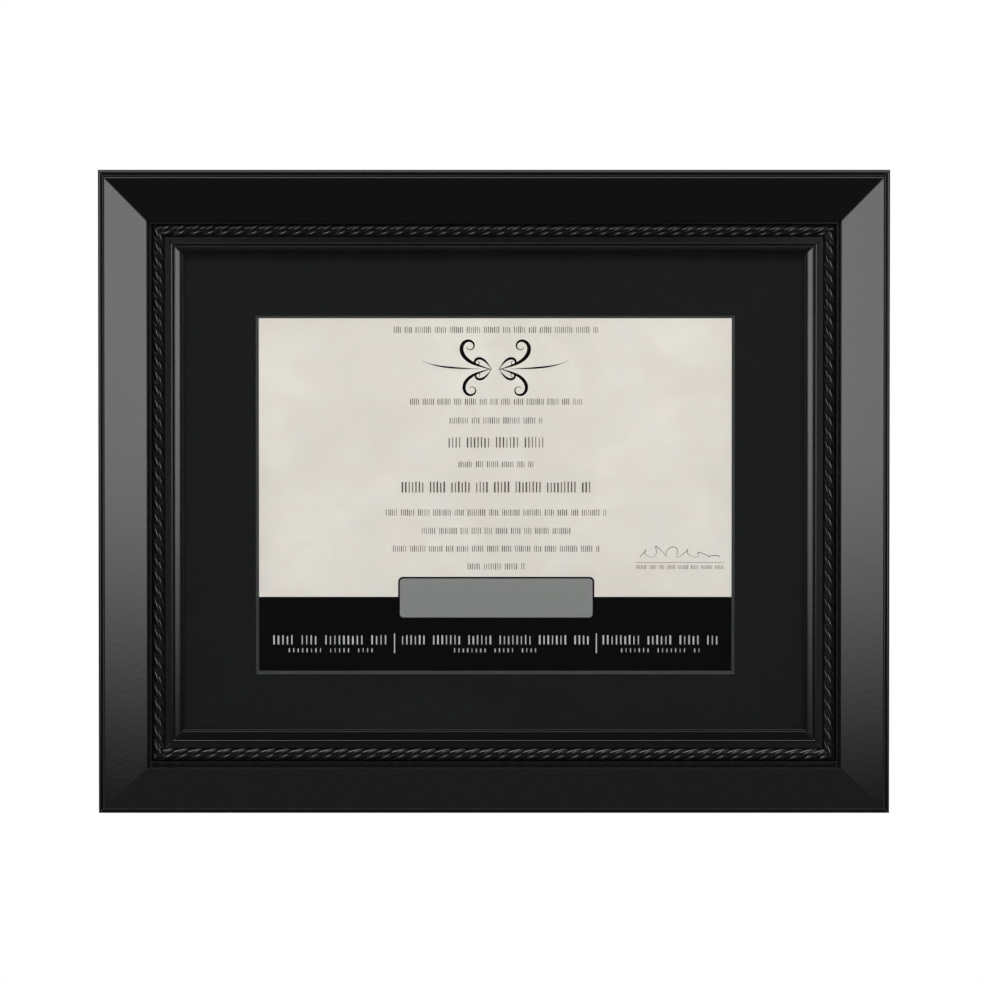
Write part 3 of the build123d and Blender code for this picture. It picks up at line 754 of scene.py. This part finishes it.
def new_material(name):
    """Material with a Principled shader: returns material, tree, shader and the object's own coordinates."""
    material = bpy.data.materials.new(name)
    material.use_nodes = True
    tree = material.node_tree
    tree.nodes.clear()
    shader = tree.nodes.new("ShaderNodeBsdfPrincipled")
    tree.nodes.new("ShaderNodeOutputMaterial")
    show(tree, shader)
    coords = tree.nodes.new("ShaderNodeTexCoord").outputs["Object"]
    return material, tree, shader, coords


def dress(tree, shader, colour, rough, height, relief):
    """Link colour, roughness and a height field, raised by a relief in metres, to a shader."""
    tree.links.new(colour, shader.inputs["Base Color"])
    tree.links.new(rough, shader.inputs["Roughness"])
    bump = add(tree, "ShaderNodeBump", {"Height": height, "Distance": relief, "Strength": 1.0})
    tree.links.new(bump.outputs["Normal"], shader.inputs["Normal"])


def black_lacquer():
    """Satin black lacquer over wood, with the bare wood showing on the backs and in the rabbet.

    A dark line marks the mitre on the bare wood, where the distance to it along the rail runs out.
    """
    black, dust = (0.0028, 0.0028, 0.0031, 1), (0.0065, 0.0065, 0.007, 1)
    brown_ring, pale_ring = (0.50, 0.33, 0.17, 1), (0.66, 0.47, 0.27, 1)
    dark_grain, joint_line = (0.36, 0.21, 0.10, 1), (0.13, 0.075, 0.038, 1)
    material, tree, shader, coords = new_material("black_lacquer")
    satin = remap(tree, attribute(tree, "satin")["Fac"], 0.0, 1.0, 0.12, 0.22, smoothed=False)
    skin = place_group(tree, LACQUER_SKIN, Vector=coords, Roughness=satin, Spread=0.04)
    along = attribute(tree, "along")["Vector"]
    ragged = remap(tree, noise(tree, coords, 160.0, 4.0, 0.7), 0.2, 0.8, -0.4, 0.4, smoothed=False)
    bare = remap(tree, calc(tree, "ADD", attribute(tree, "bare")["Fac"], ragged), 0.55, 0.7)
    grain = noise(tree, stretch(tree, along, (14.0, 900.0, 1.0)), 1.0, 5.0, 0.6, 0.6)
    rings = noise(tree, stretch(tree, along, (5.0, 150.0, 1.0)), 1.0, 3.0, 0.5, 1.2)
    wood = mix(tree, remap(tree, rings, 0.35, 0.65), brown_ring, pale_ring)
    wood = mix(tree, remap(tree, grain, 0.45, 0.75), wood, dark_grain)
    run = add(tree, "ShaderNodeSeparateXYZ", {0: along}).outputs
    to_mitre = calc(tree, "SUBTRACT", run["Z"], calc(tree, "ABSOLUTE", run["X"]))
    wood = mix(tree, remap(tree, to_mitre, 0.0001, 0.0005, 0.8, 0.0), wood, joint_line)
    colour = mix(tree, bare, mix(tree, skin["Dust"], black, dust), wood)
    rough = between(tree, bare, skin["Roughness"], 0.72)
    dress(tree, shader, colour, rough, between(tree, bare, skin["Height"], grain), 0.000012)
    return material


def clear_glass():
    """Float glass that lets lamps through to the sheets behind it."""
    material, tree, shader, coords = new_material("clear_glass")
    shader.inputs["Base Color"].default_value = (0.985, 0.995, 0.99, 1)
    shader.inputs["Transmission Weight"].default_value = 1.0
    shader.inputs["IOR"].default_value = 1.5
    haze = noise(tree, coords, 30.0, 3.0, 0.6)
    tree.links.new(remap(tree, haze, 0.3, 0.8, 0.0, 0.012), shader.inputs["Roughness"])
    clear = add(tree, "ShaderNodeBsdfTransparent", {"Color": (0.985, 0.99, 0.987, 1)})
    shadow = tree.nodes.new("ShaderNodeLightPath").outputs["Is Shadow Ray"]
    show(tree, add(tree, "ShaderNodeMixShader", {0: shadow, 1: shader.outputs[0], 2: clear.outputs[0]}))
    return material


def black_mat():
    """Matte black paper face over a dark grey core that shows in the bevel."""
    material, tree, shader, coords = new_material("black_mat")
    fibre = place_group(tree, PAPER_FIBRE, Vector=coords, Scale=1500.0, Contrast=0.5)
    face = toned(tree, (0.0098, 0.0098, 0.0100, 1), fibre["Tone"])
    core = toned(tree, (0.052, 0.053, 0.053, 1), fibre["Tone"])
    inside = remap(tree, attribute(tree, "core")["Fac"], 0.4, 0.6)
    rough = remap(tree, fibre["Height"], 0.3, 0.7, 0.85, 1.0)
    dress(tree, shader, mix(tree, inside, face, core), rough, fibre["Height"], 0.00002)
    shader.inputs["Specular IOR Level"].default_value = 0.08
    return material


def parchment():
    """Mottled cream parchment: broad clouds, warmer and cooler ones over them, and the fibres' tooth."""
    deep_cream, pale_cream = (0.70, 0.658, 0.597, 1), (0.775, 0.737, 0.675, 1)
    rosy, greyish = (0.745, 0.66, 0.61, 1), (0.70, 0.69, 0.66, 1)
    material, tree, shader, coords = new_material("parchment")
    fibre = place_group(tree, PAPER_FIBRE, Vector=coords, Scale=900.0, Contrast=0.10)
    cloud = noise(tree, coords, 16.0, 5.0, 0.6, 0.8)
    warm = noise(tree, stretch(tree, coords, (1.0, 1.0, 1.3)), 27.0, 4.0, 0.6, 1.0)
    cool = noise(tree, stretch(tree, coords, (1.3, 1.0, 1.0)), 38.0, 4.0, 0.6, 0.6)
    base = mix(tree, remap(tree, cloud, 0.3, 0.7), deep_cream, pale_cream)
    base = mix(tree, remap(tree, warm, 0.48, 0.72, 0.0, 0.8), base, rosy)
    base = mix(tree, remap(tree, cool, 0.5, 0.74, 0.0, 0.75), base, greyish)
    rough = remap(tree, fibre["Height"], 0.3, 0.7, 0.62, 0.78)
    dress(tree, shader, toned(tree, base, fibre["Tone"]), rough, fibre["Height"], 0.000012)
    return material


def ink(name, colour, fade, rough):
    """Printing ink: one colour, thinned where the paper's fibres take it less."""
    material, tree, shader, coords = new_material(name)
    fibre = place_group(tree, PAPER_FIBRE, Vector=coords, Scale=1400.0, Contrast=fade)
    patchy = remap(tree, fibre["Height"], 0.3, 0.7, rough - 0.08, rough + 0.08)
    dress(tree, shader, toned(tree, colour, fibre["Tone"]), patchy, fibre["Height"], 0.000006)
    shader.inputs["Specular IOR Level"].default_value = 0.06
    return material


def hardboard():
    """Brown hardboard: dense felted fibres, faint clouds and darker flecks."""
    deep_brown, brown = (0.218, 0.123, 0.065, 1), (0.25, 0.145, 0.077, 1)
    dark_fleck = (0.11, 0.058, 0.03, 1)
    material, tree, shader, coords = new_material("hardboard")
    fibre = place_group(tree, PAPER_FIBRE, Vector=coords, Scale=700.0, Contrast=0.6)
    cloud = noise(tree, coords, 14.0, 4.0, 0.6, 0.5)
    fleck = noise(tree, coords, 620.0, 3.0, 0.7)
    base = mix(tree, remap(tree, cloud, 0.3, 0.7), deep_brown, brown)
    base = mix(tree, remap(tree, fleck, 0.6, 0.72, 0.0, 0.6), base, dark_fleck)
    rough = remap(tree, fibre["Height"], 0.3, 0.7, 0.5, 0.72)
    dress(tree, shader, toned(tree, base, fibre["Tone"]), rough, fibre["Height"], 0.00004)
    return material


def zinc(name, tint, rough):
    """Plated steel: metal with the spangle and rolling lines of its plating."""
    material, tree, shader, coords = new_material(name)
    plate = place_group(tree, BRUSHED_PLATE, Vector=coords)
    shader.inputs["Metallic"].default_value = 1.0
    worn = calc(tree, "ADD", plate["Roughness"], rough)
    dress(tree, shader, toned(tree, tint, plate["Tone"]), worn, plate["Height"], 0.000008)
    return material


LACQUER = black_lacquer()
GLASS = clear_glass()
MAT = black_mat()
PAPER = parchment()
TEXT_INK = ink("text_ink", (0.075, 0.068, 0.06, 1), fade=0.8, rough=0.6)
BAND_INK = ink("band_ink", (0.0016, 0.0016, 0.0017, 1), fade=0.3, rough=0.85)
PALE_INK = ink("pale_ink", (0.52, 0.52, 0.51, 1), fade=0.15, rough=0.6)
PANEL_GREY = ink("panel_grey", (0.231, 0.234, 0.231, 1), fade=0.12, rough=0.5)
BOARD = hardboard()
ZINC_PLATE = zinc("zinc_plate", (0.66, 0.67, 0.68, 1), rough=0.04)
ZINC_SCREW = zinc("zinc_screw", (0.62, 0.63, 0.66, 1), rough=0.0)
STEEL = zinc("plain_steel", (0.5, 0.49, 0.47, 1), rough=0.08)

# Rails, rope and sheets

for rail_name in RAILS:
    build(f"{rail_name}_moulding", [rail_shell(rail_name)], LACQUER,
          stands_for=[f"{rail_name}_rail"], crease=32.0)
    build(f"rope_{rail_name}", [rope_shell(rail_name)], LACQUER,
          stands_for=[f"rope_bead_{rail_name}"], crease=75.0)

build("mat", [mat_shell()], MAT, stands_for=["mat_board"], crease=20.0)

for node_name, node_material in (("glass_pane", GLASS), ("certificate", PAPER), ("backing_board", BOARD)):
    node_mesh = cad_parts[node_name].data
    node_mesh.materials.clear()
    node_mesh.materials.append(node_material)

# The print: text lines as ticks, a scroll ornament, a bare panel and a dark band

rng = np.random.default_rng(PRINT_SEED)
ticks = [word_ticks(rng, TEXT_MIDDLE, *line) for line in TEXT_LINES]
ticks.append(word_ticks(rng, RULE_MIDDLE, *UNDER_RULE))
build("print_lines", [bars(np.concatenate(ticks), INK_LIFT)], TEXT_INK, closed=False)

ornament = []
for row in SCROLLS:
    path, width = scroll(*row)
    mirrored = (path * (-1, 1))[::-1]  # run backwards, so that its face stays in front
    ornament += [stroke(path, width, INK_LIFT), stroke(mirrored, width[::-1], INK_LIFT)]
build("print_ornament", ornament, BAND_INK, closed=False)

rule = bars([(RULE_MIDDLE, RULE_Z, RULE_LENGTH, RULE_THICK)], INK_LIFT)
build("print_signature_line", [pen_wave(), rule], TEXT_INK, closed=False)

band = bars([(0, (BAND_TOP + BAND_FOOT) / 2, BAND_WIDTH, BAND_TOP - BAND_FOOT)], BAND_LIFT)
build("print_band", [band], BAND_INK, closed=False)

panel_rim = rounded_panel(*PANEL, PANEL_CORNER, 0.0, PANEL_LIFT)
build("print_panel_rim", [panel_rim], BAND_INK, closed=False)
panel_face = rounded_panel(*PANEL, FACE_CORNER, PANEL_RIM, FACE_LIFT)
build("print_panel", [panel_face], PANEL_GREY, closed=False)

marks = [word_ticks(rng, *line) for line in BAND_LINES]
marks.append(np.array(BAND_BARS))
build("print_band_marks", [bars(np.concatenate(marks), PANEL_LIFT)], PALE_INK, closed=False)

# Hardware on the back

for button_name, (host, place_x) in BUTTONS.items():
    piece_name = button_name.replace("turn_button", "button")
    build(piece_name, [button_shell(host, place_x)], ZINC_PLATE,
          body=button_name, stands_for=[button_name])

screws = [screw_shell(host, x, SCREW_TWIST * k) for k, (host, x) in enumerate(BUTTONS.values())]
build("button_screws", screws, ZINC_SCREW, stands_for=["turn_button_screws"], crease=50.0)

for host in ("top", "left"):
    build(f"hanger_{host}", [hanger_shell(host)], ZINC_PLATE,
          stands_for=[f"sawtooth_hanger_{host}"])

nails = [nail_shell(host, x) for host in ("top", "left") for x in HANGER_NAILS]
build("nails", nails, STEEL, stands_for=["hanger_nails"])

corners = [(host, end) for host in ("top", "bottom") for end in (-1, 1)]
v_nails = [v_nail_shell(host, end, inset) for host, end in corners for inset in V_NAIL_INSETS]
build("corner_v_nails", v_nails, STEEL, stands_for=["v_nails"])

# Studio, in metres

ELEVATION = radians(10.9)
CAMERA_DISTANCE = 24.0
SENSOR_WIDTH = 36.0
PIXEL = 0.5555 * MM
IMAGE_PIXELS = 984
TARGET = Vector((-1.11, -8.0, -159.7)) * MM

SIDE_PANELS = {"softbox_left": (-0.7, -0.34), "softbox_right": (0.31, 0.66)}  # left and right edge
SIDE_Y, SIDE_FOOT, SIDE_TOP = -1.05, -0.57, -0.02
SIDE_FADE = 0.245  # height over which a side panel fades out at its foot
SIDE_RADIANCE = 4.0
PICTURE_MIDDLE = (0.0, 0.0, -0.16)
OVERHEAD_AT, OVERHEAD_SIZE, OVERHEAD_RADIANCE = (0.1, -1.1, 1.1), (1.3, 0.6), 5.5
FILL_AT, FILL_SIZE, FILL_RADIANCE = (0.0, -2.0, 0.55), (1.8, 1.2), 3.3

SOFT_LEVEL = 0.74  # light from all round on what is not glossy
GLOSS_FRONT, GLOSS_BEHIND = 0.01, 0.27  # what gloss sees in front and behind
GLOSS_BELOW = 0.18  # and in a band below

FLOOR_Z, FLOOR_RADIUS, FLOOR_GLOW = -1.4, 1.0, 0.9


def camera():
    """Long lens from a little above the picture's normal, framed so that a pixel is PIXEL wide."""
    data = bpy.data.cameras.new("camera")
    data.sensor_width = SENSOR_WIDTH
    data.lens = SENSOR_WIDTH * CAMERA_DISTANCE / (PIXEL * IMAGE_PIXELS)
    data.clip_end = 100.0
    obj = put("camera", data)
    direction = Vector((0, -cos(ELEVATION), sin(ELEVATION)))
    obj.location = TARGET + direction * CAMERA_DISTANCE
    obj.rotation_euler = (-direction).to_track_quat("-Z", "Y").to_euler()
    bpy.context.scene.camera = obj


def softbox(name, centre, aim, size, radiance, fade=0.0, shine=True):
    """Rectangular lamp that faces a point; its lowest share fades, and without shine it only fills."""
    width, height = size
    data = bpy.data.lights.new(name, "AREA")
    data.shape = "RECTANGLE"
    data.size, data.size_y = width, height
    data.energy = radiance * pi * width * height
    if fade:
        data.use_nodes = True
        tree = data.node_tree
        spot = add(tree, "ShaderNodeNewGeometry").outputs["Parametric"]
        up = add(tree, "ShaderNodeSeparateXYZ", {0: spot}).outputs["Y"]
        glow = next(node for node in tree.nodes if node.type == "EMISSION")
        tree.links.new(remap(tree, up, 0.0, fade), glow.inputs["Strength"])
    obj = put(name, data)
    obj.location = centre
    obj.rotation_euler = (Vector(aim) - Vector(centre)).to_track_quat("-Z", "Y").to_euler()
    obj.visible_transmission = False
    obj.visible_glossy = shine


def studio_world():
    """White to the camera and straight through the glass; otherwise one sky for gloss and one for the rest.

    Gloss sees white low behind the frame, a ramp that dims to the front and a faint band below. The rest is
    lit white from behind and softly from all round.
    """
    world = bpy.data.worlds.new("studio")
    bpy.context.scene.world = world
    world.use_nodes = True
    tree = world.node_tree
    tree.nodes.clear()
    direction = tree.nodes.new("ShaderNodeTexCoord").outputs["Generated"]
    way = add(tree, "ShaderNodeSeparateXYZ", {0: direction}).outputs
    behind = remap(tree, way["Y"], -0.05, 0.3)
    low = remap(tree, way["Z"], 0.05, -0.1)
    ramp = remap(tree, way["Y"], -0.2, 0.8, GLOSS_FRONT, GLOSS_BEHIND)
    gloss = calc(tree, "MAXIMUM", calc(tree, "MULTIPLY", behind, low), ramp)
    below = calc(tree, "MULTIPLY", remap(tree, way["Z"], -0.2, -0.42), remap(tree, way["Z"], -0.78, -0.6))
    gloss = calc(tree, "MAXIMUM", gloss, calc(tree, "MULTIPLY", below, GLOSS_BELOW))
    soft = calc(tree, "MAXIMUM", behind, SOFT_LEVEL)
    path = tree.nodes.new("ShaderNodeLightPath").outputs
    straight = calc(tree, "LESS_THAN", path["Diffuse Depth"], 0.5)
    through = calc(tree, "MULTIPLY", calc(tree, "MULTIPLY", path["Is Transmission Ray"], straight), behind)
    seen = calc(tree, "MAXIMUM", path["Is Camera Ray"], through)
    level = between(tree, seen, between(tree, path["Is Glossy Ray"], soft, gloss), 1.0)
    back = add(tree, "ShaderNodeBackground", {"Color": (1, 1, 1, 1), "Strength": level})
    output = tree.nodes.new("ShaderNodeOutputWorld")
    tree.links.new(back.outputs[0], output.inputs["Surface"])


def pale_floor(rings=24, around=96):
    """Round floor, a polar grid; white to the camera but for the shadow on it."""
    r = np.linspace(0.01, FLOOR_RADIUS, rings)[:, None]
    a = full_turn(around)
    grid = np.stack(np.broadcast_arrays(r * np.cos(a), r * np.sin(a), FLOOR_Z), -1)
    points, quads, _, _ = shell(grid, wrap_cols=True)
    mesh = bpy.data.meshes.new("floor")
    mesh.from_pydata(points.tolist(), [], quads.tolist())
    material, tree, shader, coords = new_material("pale_floor")
    speckle = noise(tree, coords, 60.0, 3.0, 0.6)
    pale = mix(tree, speckle, (0.70, 0.70, 0.69, 1), (0.76, 0.76, 0.75, 1))
    tree.links.new(pale, shader.inputs["Base Color"])
    shader.inputs["Roughness"].default_value = 0.9
    white = add(tree, "ShaderNodeEmission", {"Color": (1, 1, 1, 1), "Strength": FLOOR_GLOW})
    both = add(tree, "ShaderNodeAddShader", {0: shader.outputs[0], 1: white.outputs[0]})
    seen = tree.nodes.new("ShaderNodeLightPath").outputs["Is Camera Ray"]
    show(tree, add(tree, "ShaderNodeMixShader", {0: seen, 1: shader.outputs[0], 2: both.outputs[0]}))
    mesh.materials.append(material)
    obj = put("floor", mesh)
    obj.visible_glossy = False


camera()
studio_world()
pale_floor()
side_height = SIDE_TOP - SIDE_FOOT
for lamp_name, (left, right) in SIDE_PANELS.items():
    centre = Vector(((left + right) / 2, SIDE_Y, (SIDE_FOOT + SIDE_TOP) / 2))
    softbox(lamp_name, centre, centre + Vector((0, 1, 0)), (right - left, side_height), SIDE_RADIANCE,
            fade=SIDE_FADE / side_height)
softbox("overhead", OVERHEAD_AT, PICTURE_MIDDLE, OVERHEAD_SIZE, OVERHEAD_RADIANCE)
softbox("fill", FILL_AT, PICTURE_MIDDLE, FILL_SIZE, FILL_RADIANCE, shine=False)

bpy.context.scene.view_settings.view_transform = "Standard"
